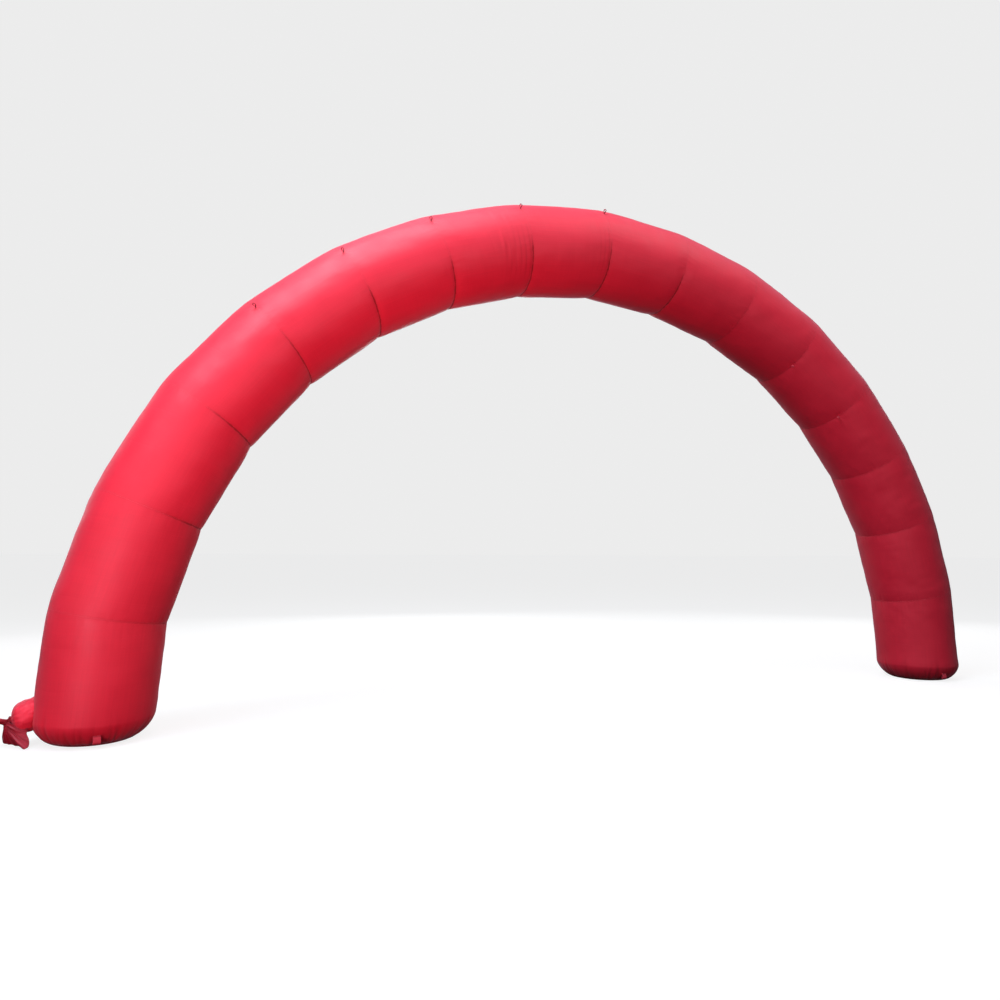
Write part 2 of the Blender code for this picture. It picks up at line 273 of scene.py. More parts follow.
# The depth of cloth folded in at which the painted shade of a crease or tuck is fully dark
DARK_DEPTH = 0.0012


def creases(number, distance):
    """How far in the cloth goes at the creases beside seam number."""
    total = np.zeros(distance.shape)
    for row in CREASES:
        if row.seam == number:
            window = bump_window(TURN, row.angle, row.half)
            wobble = 0.5 * np.sin(3 * TURN + number) + 0.3 * np.sin(7 * TURN)
            ripple = 0.5 - 0.5 * np.cos(2 * np.pi * distance / row.spacing + wobble)
            uneven = 0.75 + 0.25 * np.sin(2.3 * distance / row.spacing + 5 * TURN)
            fade = np.exp(-distance / row.fade) * np.clip(distance / 0.02, 0, 1)
            total += row.depth * uneven * ripple ** CREASE_SHARP * fade * window
    return total


# Where a loop is caught in a seam it pulls a shallow dimple with rays of small wrinkles
Dimple = namedtuple("Dimple", "depth reach ray_depth ray_reach rays")
LOOP_DIMPLE = Dimple(depth=0.0035, reach=0.030, ray_depth=0.0020, ray_reach=0.075, rays=9)


def dimple(number, distance, side):
    """How far in the cloth goes round the loop of seam number, on the drum to one side of it."""
    round_it = angle_gap(TURN, math.radians(SEAM_LOOP_ANGLES[number])) * TUBE_RADIUS
    far = np.hypot(distance, round_it)
    heading = np.arctan2(side * distance, round_it)
    pit = LOOP_DIMPLE.depth * np.exp(-((far / LOOP_DIMPLE.reach) ** 2))
    rays = 0.5 + 0.5 * np.cos(LOOP_DIMPLE.rays * heading + number)
    start = np.clip(far / 0.02, 0, 1)
    rays = LOOP_DIMPLE.ray_depth * rays * start * np.exp(-((far / LOOP_DIMPLE.ray_reach) ** 2))
    return pit + rays


def inner_weight(turns):
    """The share of its puckers that a seam has, from 0.35 on its outer side to 1 on its inner one."""
    return 0.35 + 0.65 * (1 - np.cos(turns)) / 2


# Away from the outer side a seam's groove is as deep as its line is dark, and never less than a share
GROOVE_LEAST = 0.08
GROOVE_FREE = np.clip((FOLDED - 50) / 35, 0, 1)


def drum_swell(points, before, after, first, last):
    """How far the skin of a drum stands off the blown-up tube, at each point."""
    swell = np.zeros(before.shape)
    for number, distance, side in ((first, before, 1), (last, after, -1)):
        if number is None:
            continue
        share = 1 - GROOVE_FREE * (1 - (GROOVE_LEAST + (1 - GROOVE_LEAST) * seam_line(number)))
        swell -= DRAW_DEPTH * share * np.exp(-distance / DRAW_WIDTH)
        swell -= puckers(10 * number + side, SEAM_PUCKER, distance, inner_weight(TURN))
        if number in SEAM_LOOP_ANGLES:
            swell -= dimple(number, distance, side)
    if last is not None:
        swell -= creases(last, after)
    quiet = np.clip(np.minimum(before, after) / 0.08, 0, 1)
    swell += quiet * (0.0014 * waves(points, 5, 0.35, 0.9) + 0.0006 * waves(points, 6, 0.12, 0.3))
    return swell


def open_tube_faces(count, around):
    faces = []
    for low in range(0, (count - 1) * around, around):
        for k in range(around):
            after = (k + 1) % around
            faces.append((low + k, low + after, low + around + after, low + around + k))
    return faces


def simulated_move(rows):
    """How far each point of an open tube of cloth moves when it is blown up with its ends held."""
    count, around = rows.shape[:2]
    mesh = bpy.data.meshes.new("cloth_trial")
    mesh.from_pydata([tuple(p) for p in rows.reshape(-1, 3)], [], open_tube_faces(count, around))
    obj = bpy.data.objects.new("cloth_trial", mesh)
    scene = bpy.context.scene
    scene.collection.objects.link(obj)
    held = obj.vertex_groups.new(name="held")
    held.add(list(range(around)) + list(range((count - 1) * around, count * around)), 1.0, "REPLACE")
    modifier = obj.modifiers.new("cloth", "CLOTH")
    cloth = modifier.settings
    cloth.vertex_group_mass = "held"
    cloth.use_pressure = True
    cloth.uniform_pressure_force = SIM_PRESSURE
    cloth.effector_weights.gravity = 0
    cloth.shrink_min = -SIM_SPARE_CLOTH
    cloth.quality = 4
    cloth.mass = 0.2
    cloth.bending_stiffness = 0.4
    modifier.collision_settings.use_collision = False
    modifier.point_cache.frame_end = SIM_FRAMES
    for step in range(1, SIM_FRAMES + 1):
        scene.frame_set(step)
    result = obj.evaluated_get(bpy.context.evaluated_depsgraph_get()).to_mesh()
    places = np.zeros(rows.size, np.float32)
    result.vertices.foreach_get("co", places)
    move = places.reshape(rows.shape) - rows
    bpy.data.objects.remove(obj)
    bpy.data.meshes.remove(mesh)
    scene.frame_set(1)
    size = np.maximum(np.linalg.norm(move, axis=2, keepdims=True), 1e-9)
    share = np.linspace(0, 1, count)[:, None, None]
    cap = SIM_CAP * 4 * share * (1 - share) + 1e-9
    return move * cap * np.tanh(size / cap) / size


def finer(coarse, shares):
    """A coarse grid of vectors read at the fine rows' shares and at every point round the tube."""
    around = np.fft.irfft(np.fft.rfft(coarse, axis=1), n=AROUND, axis=1) * (AROUND / SIM_AROUND)
    return read_between(around, shares)


def blown_up(start, end, shares):
    """How far the air moves each point of a plain drum between two rings, at the shares."""
    turns = even_turns(SIM_AROUND)
    share = np.linspace(0, 1, SIM_ROWS)[:, None, None]
    way = spokes(start, turns) * (1 - share) + spokes(end, turns) * share
    middle = start.centre * (1 - share) + end.centre * share
    inner = (4 * share * (1 - share)) ** 0.5
    uneven = waves(middle + way * TUBE_RADIUS, 21, 0.08, 0.30)[:, :, None]
    first = way * inner * (SIM_START_UNEVEN * uneven - SIM_START_DRAW)
    return finer(first + simulated_move(middle + way * TUBE_RADIUS + first), shares)


def skin(start, end, shares, first, last, blown_from=None):
    """Rows of points of one drum between two rings.

    It gives the plain tube, each point's way out, how the air and the sewing move it, and its
    distances from both rings.
    """
    share = shares[:, None, None]
    way = spokes(start) * (1 - share) + spokes(end) * share
    middle = start.centre * (1 - share) + end.centre * share
    plain = middle + way * TUBE_RADIUS
    length = np.linalg.norm(plain[-1] - plain[0], axis=1)
    before = share[:, :, 0] * length
    after = (1 - share[:, :, 0]) * length
    swell = way * drum_swell(plain, before, after, first, last)[:, :, None]
    if blown_from is None:
        air = blown_up(start, end, shares)
    else:
        ahead = SIM_FOOT_BELOW / (SIM_FOOT_BELOW + length.mean())
        air = blown_up(blown_from, end, ahead + (1 - ahead) * shares)
    return plain, way, swell + air, before, after


def drum_shares(number):
    """Where a drum's rows are: close at its seams, and close where creases run beside the last one."""
    near = list(SEAM_ROWS)
    far = near[::-1]
    reach = max([CREASE_END * row.fade for row in CREASES if row.seam == number], default=0)
    if reach:
        length = math.pi * CENTRE_RADIUS / PANELS
        first, end = CREASE_START / length, reach / length
        fine = list(np.arange(first, end, CREASE_ROW / length))
        far = [x for x in near if x < first] + fine + [x for x in near if x > end + 0.004]
        far = sorted(far, reverse=True)
    return np.array(near + [1 - x for x in far[1:]])


def add_material(obj, material):
    obj.data.materials.clear()
    obj.data.materials.append(material)


def fan_cap(faces, ring, hub):
    for k in range(len(ring)):
        faces.append((ring[k], ring[(k + 1) % len(ring)], hub))


def zip_cap(faces, ring):
    """Close a flattened ring: its first half is one layer, its second half the other, reversed."""
    last = len(ring) - 1
    for k in range(len(ring) // 2 - 1):
        faces.append((ring[k], ring[k + 1], ring[last - k - 1], ring[last - k]))


def grid_mesh(name, rows, uv, seam_distance, seam_dark, tucked=0.0, sharp=62, zip_end=False):
    """A closed tube mesh through rows of points, with the cloth's own coordinates and its seams."""
    count, around = rows.shape[:2]
    points = [tuple(p) for p in rows.reshape(-1, 3)]
    faces = open_tube_faces(count, around)
    sides = len(faces)
    points.append(tuple(rows[0].mean(axis=0)))
    fan_cap(faces, list(range(around))[::-1], len(points) - 1)
    final = list(range((count - 1) * around, count * around))
    if zip_end:
        zip_cap(faces, final)
    else:
        points.append(tuple(rows[-1].mean(axis=0)))
        fan_cap(faces, final, len(points) - 1)
    mesh = bpy.data.meshes.new(name)
    mesh.from_pydata(points, [], faces)
    layer = mesh.uv_layers.new(name="cloth")
    flat = np.zeros((len(mesh.loops), 2), np.float32)
    step = uv[:, 1, 0] - uv[:, 0, 0]
    for index in range(sides):
        i, k = divmod(index, around)
        for place, (row, column) in enumerate(((i, k), (i, k + 1), (i + 1, k + 1), (i + 1, k))):
            flat[4 * index + place] = (uv[row, 0, 0] + step[row] * column, uv[row, column % around, 1])
    layer.data.foreach_set("uv", flat.ravel())
    # The seam's distance, and how strong the painted shade is along seams (dark) and in folds, creases,
    # tucks and near the ground (tucked)
    facts = (("seam", seam_distance, 1.0), ("dark", seam_dark, 0.0), ("tucked", tucked, 0.0))
    for key, grid, plain in facts:
        values = np.full(len(points), plain, np.float32)
        values[: count * around] = np.broadcast_to(grid, (count, around)).ravel()
        mesh.attributes.new(key, "FLOAT", "POINT").data.foreach_set("value", values)
    solid = bmesh.new()
    solid.from_mesh(mesh)
    if solid.calc_volume(signed=True) < 0:
        mesh.flip_normals()
    solid.free()
    mesh.shade_smooth()
    mesh.set_sharp_from_angle(angle=math.radians(sharp))
    mesh.validate()
    return mesh


def add_piece(name, mesh, material, nodes):
    obj = bpy.data.objects.new(name, mesh)
    bpy.context.scene.collection.objects.link(obj)
    add_material(obj, material)
    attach(obj, "root")
    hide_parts(*nodes)
    return obj


def cloth_uv(rows, radius):
    """Metres round a tube of cloth of this radius and along it, for each point."""
    turns = 2 * np.pi * radius * np.arange(rows.shape[1]) / rows.shape[1]
    round_it = np.broadcast_to(turns, rows.shape[:2])
    steps = np.linalg.norm(np.diff(rows, axis=0), axis=2)
    along = np.concatenate([np.zeros((1, rows.shape[1])), np.cumsum(steps, axis=0)])
    return np.stack([round_it, along], axis=2)


def foot_rows(side, turns, seed):
    """Rows of the foot's gathered corner, with their puckers."""
    rows = []
    for turn in turns:
        radius, height = corner(turn)
        ring = foot_ring(side, height)
        tuck = puckers(seed, FOOT_PUCKER, np.full(AROUND, height), 1.0)
        flat = min(1.0, height / 0.02)
        rows.append(ring.centre + spokes(ring) * (radius - tuck * (0.35 + 0.65 * flat))[:, None])
    return np.array(rows)


def tuck_dark(depth):
    """How dark the painted shade is on cloth folded in by this depth, from 0 to 1."""
    return np.clip(depth / DARK_DEPTH, 0, 1)


def drum_piece(number, rows, distance, dark, tucked, material):
    name = f"drum_{number:02d}"
    mesh = grid_mesh(name, rows, cloth_uv(rows, TUBE_RADIUS), distance, dark, tucked)
    return add_piece(name, mesh, material, [f"tube_panel_{number:02d}"])


def add_drum(number, material):
    start = moved(seam_ring(number - 1), GAP / 2)
    end = moved(seam_ring(number), -GAP / 2)
    plain, _, move, before, after = skin(start, end, drum_shares(number), number - 1, number)
    # dark: how strong the painted shade of the nearer seam's groove is; tucked: painted shade along the
    # creases
    dark = np.where(before < after, seam_line(number - 1), seam_line(number))
    tucked = tuck_dark(creases(number, after))
    return drum_piece(number, plain + move, np.minimum(before, after), dark, tucked, material)


# How dark the painted shade is along the seam round the base cloth
BASE_SEAM_DARK = 0.8
# How high above the ground a foot's cloth is darkened with painted shade from the ground
GROUND_SHADE_HEIGHT = 0.16
FOOT_SEEDS = {-1: 901, 1: 902}


def foot_tucked(seed, height):
    """How dark the painted shade is in the foot's tucks and along its lowest edge by the ground, at
    each point.
    """
    tucks = tuck_dark(puckers(seed, FOOT_PUCKER, height, 0.2))
    return np.clip(0.75 * tucks + np.clip(1 - height / GROUND_SHADE_HEIGHT, 0, 1) ** 1.5, 0, 1)


def add_foot_drum(number, side, material):
    seam = 1 if side < 0 else PANELS - 1
    seed = FOOT_SEEDS[side]
    top = foot_ring(side, CORNER_HEIGHT)
    below = foot_ring(side, CORNER_HEIGHT - SIM_FOOT_BELOW)
    ring = moved(seam_ring(seam), side * GAP / 2)
    low_rows = [row / (2 * FOOT_ROWS) for row in range(1, FOOT_ROWS)]
    shares = np.array(low_rows + [1 - x for x in SEAM_ROWS[::-1]])
    plain, way, move, before, after = skin(top, ring, shares, None, seam, below)
    height = before + CORNER_HEIGHT
    tuck = puckers(seed, FOOT_PUCKER, height, 1.0)
    wall = plain + move * np.clip(before / 0.1, 0, 1)[:, :, None] - way * tuck[:, :, None]
    turns = [BASE_SEAM_TURN * (1 - i / CORNER_ROWS) for i in range(CORNER_ROWS + 1)]
    low = foot_rows(side, turns, seed)
    rise = np.array([corner(turn)[1] - corner(BASE_SEAM_TURN)[1] for turn in turns])
    distance = np.concatenate([np.broadcast_to(rise[:, None], low.shape[:2]), after])
    line = np.broadcast_to(seam_line(seam), after.shape)
    # Painted shade along the base seam on the gathered corner, and along the seam's groove on the wall
    dark = np.concatenate([np.full(low.shape[:2], BASE_SEAM_DARK), line])
    tucked = foot_tucked(seed, np.concatenate([low[:, :, 2], height]))
    return drum_piece(number, np.concatenate([low, wall]), distance, dark, tucked, material)


def add_base(name, node, side, material):
    seed = FOOT_SEEDS[side]
    rows = foot_rows(side, np.linspace(BASE_SEAM_TURN, math.pi / 2, BASE_ROWS + 1), seed)
    rows[0, :, 2] -= GAP
    distance = np.linspace(0, 0.06, len(rows))[:, None]
    tucked = foot_tucked(seed, rows[:, :, 2])
    mesh = grid_mesh(name, rows, cloth_uv(rows, TUBE_RADIUS), distance, BASE_SEAM_DARK, tucked)
    return add_piece(name, mesh, material, [node])


# The filling sleeve: a puffed bulb, a cord wound round its neck, and an end that falls open

SLEEVE_ROOT = np.array([-4.90 + MID_SPAN, -0.050, 0.240])
SLEEVE_NECK = np.array([-5.124 + MID_SPAN, -0.080, 0.196])
NECK_RADIUS = 0.030
NECK_HALF_LENGTH = 0.034
# The bulb's radius at each share of the way from its root to the neck
BULB = (
    (-0.5, 0.110),
    (0.0, 0.113),
    (0.30, 0.120),
    (0.50, 0.124),
    (0.66, 0.121),
    (0.79, 0.109),
    (0.88, 0.086),
    (0.94, 0.056),
    (1.0 - NECK_HALF_LENGTH, 0.033),
    (1.0, NECK_RADIUS),
    (1.0 + NECK_HALF_LENGTH, 0.033),
)
BULB_RADIUS = 0.12
BULB_AROUND = 256
BULB_ROWS = 72
BULB_SUNK = 0.002

# Gathers that run from the neck up the bulb: how many, how deep, and how wide in radians
GATHERS = 17
GATHER_DEPTH = 0.0075
GATHER_WIDTH = 0.115
# The stitched root: how far the cloth is drawn in there and over what distance it comes back out
ROOT_DRAW = 0.0065
ROOT_DRAW_WIDTH = 0.013
# The turn opposite the one where the root is drawn in most
ROOT_LOWEST = 0.6
# At its top the root flares out onto the wall: how far, and over what distance
ROOT_FLARE = 0.026
ROOT_FLARE_WIDTH = 0.024
ROOT_PUCKER = Pucker(count=26, depth=0.0030, width=0.009, near=0.025, far=0.06)

SLEEVE_LENGTH = np.linalg.norm(SLEEVE_NECK - SLEEVE_ROOT)
SLEEVE_AXIS = (SLEEVE_NECK - SLEEVE_ROOT) / SLEEVE_LENGTH
SLEEVE_AHEAD = FRONT - SLEEVE_AXIS * (FRONT @ SLEEVE_AXIS)
SLEEVE_AHEAD /= np.linalg.norm(SLEEVE_AHEAD)
SLEEVE_UP = np.cross(SLEEVE_AXIS, SLEEVE_AHEAD)


def curve_through(table, at):
    """A smooth curve through a table of place and value, read at each of the places."""
    places, values = np.array(table, float).T
    slopes = np.gradient(values, places)
    low = np.clip(np.searchsorted(places, at) - 1, 0, len(places) - 2)
    wide = places[low + 1] - places[low]
    t = (at - places[low]) / wide
    return curved(t, values[low], values[low + 1], wide * slopes[low], wide * slopes[low + 1])


def sleeve_spokes(turns):
    return SLEEVE_UP * np.cos(turns)[..., None] + SLEEVE_AHEAD * np.sin(turns)[..., None]


def neck_gathers(turns, along):
    """How deep the cloth is folded in towards the neck."""
    random = np.random.default_rng(77)
    total = np.zeros(along.shape)
    for k in range(GATHERS):
        middle = 2 * np.pi * (k + random.uniform(-0.3, 0.3)) / GATHERS
        starts = random.uniform(0.45, 0.80)
        depth = GATHER_DEPTH * random.uniform(0.45, 1.0)
        bend = random.uniform(-0.35, 0.35)
        grown = np.clip((along - starts) / (0.95 - starts), 0, 1) ** 1.5
        thin = np.clip((1.02 - along) / 0.10, 0.42, 1)
        gap = angle_gap(turns, middle + bend * (1 - along))
        total += depth * grown * thin * np.exp(-((gap / GATHER_WIDTH) ** 2))
    return total


def bulb_points(turns, along, far_from_root):
    """Points of the bulb: turns and along for each, and how far each is from the stitched root."""
    radius = curve_through(BULB, along) - neck_gathers(turns, along)
    radius -= ROOT_DRAW * inner_weight(turns - ROOT_LOWEST) * np.exp(-far_from_root / ROOT_DRAW_WIDTH)
    upper = np.clip(np.cos(turns), 0, 1) ** 2
    radius += ROOT_FLARE * upper * np.exp(-far_from_root / ROOT_FLARE_WIDTH)
    random = np.random.default_rng(31)
    for k in range(ROOT_PUCKER.count):
        middle = 2 * np.pi * (k + random.uniform(-0.4, 0.4)) / ROOT_PUCKER.count
        depth = ROOT_PUCKER.depth * random.uniform(0.3, 1.0)
        reach = random.uniform(ROOT_PUCKER.near, ROOT_PUCKER.far)
        gap = angle_gap(turns, middle) * BULB_RADIUS
        grown = np.clip(far_from_root / 0.006, 0, 1) * np.exp(-((far_from_root / reach) ** 2))
        radius -= depth * grown * np.exp(-((gap / ROOT_PUCKER.width) ** 2))
    centre = SLEEVE_ROOT + SLEEVE_AXIS * (along * SLEEVE_LENGTH)[..., None]
    points = centre + sleeve_spokes(turns) * radius[..., None]
    quiet = np.clip((1 - along) / 0.3, 0, 1) * np.clip(far_from_root / 0.03, 0, 1)
    swell = quiet * (0.0024 * waves(points, 41, 0.09, 0.25) + 0.0008 * waves(points, 42, 0.03, 0.07))
    return points + sleeve_spokes(turns) * swell[..., None]


def wall_tree(obj):
    corners = [vertex.co for vertex in obj.data.vertices]
    return BVHTree.FromPolygons(corners, [tuple(face.vertices) for face in obj.data.polygons])


def add_bulb(foot, material):
    """The puffed root of the sleeve, from its stitching on the foot's wall to the middle of the tie."""
    tree = wall_tree(foot)
    turns = even_turns(BULB_AROUND)
    roots = []
    for turn in turns:
        start = bulb_points(np.array([turn]), np.array([0.75]), np.array([0.0]))[0]
        base = bulb_points(np.array([turn]), np.array([0.25]), np.array([0.0]))[0]
        way = Vector(base - start).normalized()
        hit = tree.ray_cast(Vector(start), way, 1.0)[0]
        roots.append((hit - Vector(SLEEVE_ROOT)).dot(Vector(SLEEVE_AXIS)) / SLEEVE_LENGTH)
    roots = np.array(roots) - BULB_SUNK / SLEEVE_LENGTH
    share = (np.arange(BULB_ROWS) / (BULB_ROWS - 1))[:, None] ** 1.15
    along = roots + (1.0 - roots) * share
    far = (along - roots) * SLEEVE_LENGTH
    rows = bulb_points(np.broadcast_to(turns, along.shape), along, far)
    # Painted shade: the stitched root is darkest where it is drawn in most (dark), and the neck's
    # gathers and the root's crease are shaded through tucked
    dark = 0.25 + 0.75 * (1 - np.cos(turns - ROOT_LOWEST)) / 2
    tucked = neck_gathers(turns, along) / GATHER_DEPTH + 0.6 * dark * np.exp(-far / ROOT_DRAW_WIDTH)
    tucked = np.clip(tucked, 0, 1)
    mesh = grid_mesh("sleeve_bulb", rows, cloth_uv(rows, BULB_RADIUS), far, dark, tucked, sharp=70)
    return add_piece("sleeve_bulb", mesh, material, ["inflation_sleeve"])


# The free end, rib by rib, as the solids' source has it: how far out, to the front and down from
# the neck each rib's hem is, and how far the rib swells to the front on its way
TAIL = np.array((
    (0.140, 0.012, -0.046, 0.010),
    (0.132, 0.024, -0.006, 0.022),
    (0.055, 0.002, 0.026, 0.010),
    (0.047, -0.030, 0.070, 0.006),
    (0.070, -0.095, 0.176, 0.014),
    (0.022, -0.046, 0.184, 0.030),
    (-0.028, -0.006, 0.187, 0.012),
    (-0.082, 0.075, 0.189, 0.045),
    (-0.132, 0.162, 0.191, 0.030),
    (-0.157, 0.158, 0.168, 0.020),
    (-0.150, 0.118, 0.134, 0.040),
    (-0.128, 0.090, 0.094, 0.045),
    (-0.131, 0.084, 0.052, 0.060),
))
TAIL_LEAVES_BY = np.array([-0.030, -0.030, 0.0])
TAIL_EARLY_DROP = 0.35
TAIL_HALF_THICK = 0.0045
TAIL_NECK_THICK = 0.011
TAIL_EDGE_SHARE = 0.35
# How far the last rib's edge is pushed up against the bulb half-way to the hem
TAIL_EDGE_LIFT = 0.015
TAIL_SAMPLES = 150
TAIL_RUNS = 46
CLOTH_THICK = 0.0013
MOUTH_DEPTH = 0.10
TAIL_LOWEST = 0.0015
# How strongly the nylon's painted seam shade darkens the tail towards its hem and up inside its open
# mouth
HEM_DARK = 0.3

# Folds that fan out from the neck: waves across the ribs, how high, and how they drift on the way
Fold = namedtuple("Fold", "waves height start drift")
TAIL_FOLDS = (
    Fold(4.5, 0.0042, 0.3, 0.4),
    Fold(8.0, 0.0034, 1.7, -0.7),
    Fold(13.0, 0.0020, 0.9, 0.9),
    Fold(21.0, 0.0009, 2.2, -1.1),
)
# How deep a fold is at which its painted shade is fully dark
TAIL_DARK_DEPTH = 0.006
# The cut sleeve lying flat: half its girth, and its length from the tie to the hem
TAIL_FLAT = (0.39, 0.24)


def tail_surface(share, run):
    """The tail's middle surface, without its small folds."""
    out, front, drop, swell = read_between(TAIL, np.clip(share, 0, 1)).T[:, :, None]
    across = np.array([-1.0, 0.0, 0.0])
    start = SLEEVE_NECK + SLEEVE_AXIS * NECK_HALF_LENGTH * SLEEVE_LENGTH
    hem = SLEEVE_NECK + across * out + FRONT * front - UP * drop
    pull = start + TAIL_LEAVES_BY + FRONT * swell - UP * TAIL_EARLY_DROP * drop
    first = start + (pull - start) * run
    second = pull + (hem - pull) * run
    lift = TAIL_EDGE_LIFT * share ** 5 * math.sin(math.pi * run) ** 2
    return first + (second - first) * run + lift[:, None] * UP


def tail_fold(share, run):
    """How far the folds push the tail's middle surface out, on its front."""
    grown = min(1.0, run / 0.22) * (1 - 0.35 * run)
    total = np.zeros(len(share))
    for row in TAIL_FOLDS:
        phase = 2 * np.pi * row.waves * share + row.start + row.drift * 2 * run
        total += row.height * grown * np.sin(phase)
    return total


def tail_tucked(run):
    """How dark the painted shade is in the tail's valleys and at its gathered neck, along the ring of
    its two layers.
    """
    fold = tail_fold(np.linspace(0, 1, TAIL_SAMPLES), run)
    both = np.concatenate([-fold, fold[::-1]])
    return np.clip(both / TAIL_DARK_DEPTH + np.clip(1 - run / 0.35, 0, 1), 0, 1)


def tail_layers(run, inner=0.0):
    """The two layers of the tail at one run from the neck (0) to the hem (1), as one flat ring."""
    step = 0.01
    share = np.linspace(0, 1, TAIL_SAMPLES)
    place = tail_surface(share, run)
    across = tail_surface(share + step, run) - tail_surface(share - step, run)
    down = tail_surface(share, run) - tail_surface(share, run - step)
    facing = unit_rows(np.cross(down, across))
    place = place + facing * tail_fold(share, run)[:, None]
    half = TAIL_HALF_THICK + (TAIL_NECK_THICK - TAIL_HALF_THICK) * (1 - run) ** 2
    puff = 0.75 + 0.35 * np.sin(2 * np.pi * 2.3 * share + 0.8) + 0.2 * np.sin(2 * np.pi * 5.7 * share)
    edge = np.clip(np.minimum(share, 1 - share) / 0.035, 0, 1)
    half = half * (TAIL_EDGE_SHARE + (puff - TAIL_EDGE_SHARE) * np.sqrt(edge * (2 - edge)))
    half = np.maximum(half - inner, 0.0004)
    front = place + facing * half[:, None]
    back = place - facing * half[:, None]
    return np.concatenate([front, back[::-1]])


def add_tail(material):
    """The sleeve's free end: two layers of cloth, open at the hem."""
    turns = even_turns(2 * TAIL_SAMPLES) + np.pi / (2 * TAIL_SAMPLES)
    far_off = np.ones(turns.shape)
    rows = [bulb_points(turns, far_off * (1.0 + NECK_HALF_LENGTH * i / 4), far_off) for i in range(5)]
    neck = rows[-1]
    runs = [((i + 1) / TAIL_RUNS) ** 1.1 for i in range(TAIL_RUNS)]
    for run in runs:
        settle = min(1.0, run * 3)
        settle = settle * settle * (3 - 2 * settle)
        rows.append(neck + (tail_layers(run) - neck) * settle)
    far = [0.2] * 5 + [(1 - run) * 0.2 for run in runs]
    # the cut edge, and a little way up the inside of the open mouth
    rows += [tail_layers(1.0 - MOUTH_DEPTH * share, CLOTH_THICK) for share in (0, 0.5, 1)]
    far += [0.0, 0.012, 0.024]
    rows = np.array(rows)
    rows[:, :, 2] = np.maximum(rows[:, :, 2], TAIL_LOWEST)
    uv = cloth_uv(rows, TAIL_FLAT[0] / math.pi)
    tucked = np.array([tail_tucked(run) for run in [0.0] * 5 + runs + [1.0] * 3])
    far = np.array(far)[:, None]
    mesh = grid_mesh("sleeve_tail", rows, uv, far, HEM_DARK, tucked, sharp=80, zip_end=True)
    return add_piece("sleeve_tail", mesh, material, ["inflation_sleeve"])


def unit_rows(vectors):
    return vectors / np.linalg.norm(vectors, axis=1)[:, None]


def swept(path, sideways, upright, outline):
    """Rows of points of an outline carried along a path. outline has one (side, up) pair a point."""
    side = outline[..., 0:1] * sideways[:, None, :]
    up = outline[..., 1:2] * upright[:, None, :]
    return path[:, None, :] + side + up


# The tie: a cord of two strands wound three times round the neck, with its ends knotted
TIE_TURNS = 3
CORD_RADIUS = 0.0017
TIE_PITCH = 0.0032
TIE_STEPS = 100
CORD_SIDES = 12
CORD_LAY = 0.011
# How far the cord stands off the neck, and the turn where it is knotted
TIE_OFF = 0.0006
KNOT_TURN = 2.3
# The knot's size along the sleeve, round it and outwards
KNOT_SIZE = (0.0042, 0.0030, 0.0012)
KNOT_STEPS = 48
KNOT_STEP = 0.0006


def cord_outline(count, step):
    """The outline of a two-strand cord at each row, turning with its lay."""
    around = even_turns(CORD_SIDES)
    lengths = np.arange(count) * step
    radius = CORD_RADIUS * (1 + 0.13 * np.cos(2 * (around - 2 * np.pi * lengths[:, None] / CORD_LAY)))
    return np.stack([radius * np.cos(around), radius * np.sin(around)], axis=2)


def add_tie(material):
    """The wound cord, and a small knot at its front made from the cord's ends."""
    def cord_piece(name, rows):
        mesh = grid_mesh(name, rows, cloth_uv(rows, CORD_RADIUS), 1.0, 0.0)
        add_piece(name, mesh, material, ["sleeve_tie"])

    turns = 2 * np.pi * np.arange(TIE_TURNS * TIE_STEPS + 1) / TIE_STEPS
    radius = NECK_RADIUS + CORD_RADIUS + TIE_OFF
    out = sleeve_spokes(turns + KNOT_TURN)
    slide = (turns / (2 * np.pi) - TIE_TURNS / 2) * TIE_PITCH
    path = SLEEVE_NECK + out * radius + SLEEVE_AXIS * slide[:, None]
    axis = np.broadcast_to(SLEEVE_AXIS, path.shape)
    outline = cord_outline(len(turns), 2 * np.pi * radius / TIE_STEPS)
    cord_piece("tie_cord", swept(path, out, axis, outline))

    # a knot: one small closed turn of the cord that lies across the winding
    outward = sleeve_spokes(np.array(KNOT_TURN + 0.05))
    middle = SLEEVE_NECK + outward * (radius + 1.5 * CORD_RADIUS)
    angle = 2 * np.pi * np.arange(KNOT_STEPS) / (KNOT_STEPS - 1)
    swings = (np.sin(angle), np.sin(2 * angle), np.cos(angle))
    ways = (SLEEVE_AXIS, np.cross(SLEEVE_AXIS, outward), outward)
    path = middle + sum(np.outer(a, b * c) for a, b, c in zip(swings, ways, KNOT_SIZE))
    way = unit_rows(np.gradient(path, axis=0))
    side = unit_rows(np.cross(way, outward))
    cord_piece("tie_knot", swept(path, side, np.cross(side, way), cord_outline(KNOT_STEPS, KNOT_STEP)))


# Webbing loops: a strip folded into an eye over its sewn stem
Loop = namedtuple("Loop", "width reach eye stem thick")
SEAM_LOOP = Loop(width=0.016, reach=0.046, eye=0.020, stem=0.006, thick=0.0025)
FOOT_LOOP = Loop(width=0.055, reach=0.065, eye=0.016, stem=0.012, thick=0.003)
EYE_WIDEST = 0.77
EYE_STEPS = 90
SEAM_DRAW = 0.006
STEM_CLEARANCE = 0.0009
RIDGE_WIDTH = 0.0022
RIDGE_DEPTH = 0.00012
FOOT_LOOP_TURN = BASE_SEAM_TURN / 2


def run_along(points):
    return np.concatenate([[0.0], np.cumsum(np.linalg.norm(np.diff(points, axis=0), axis=1))])


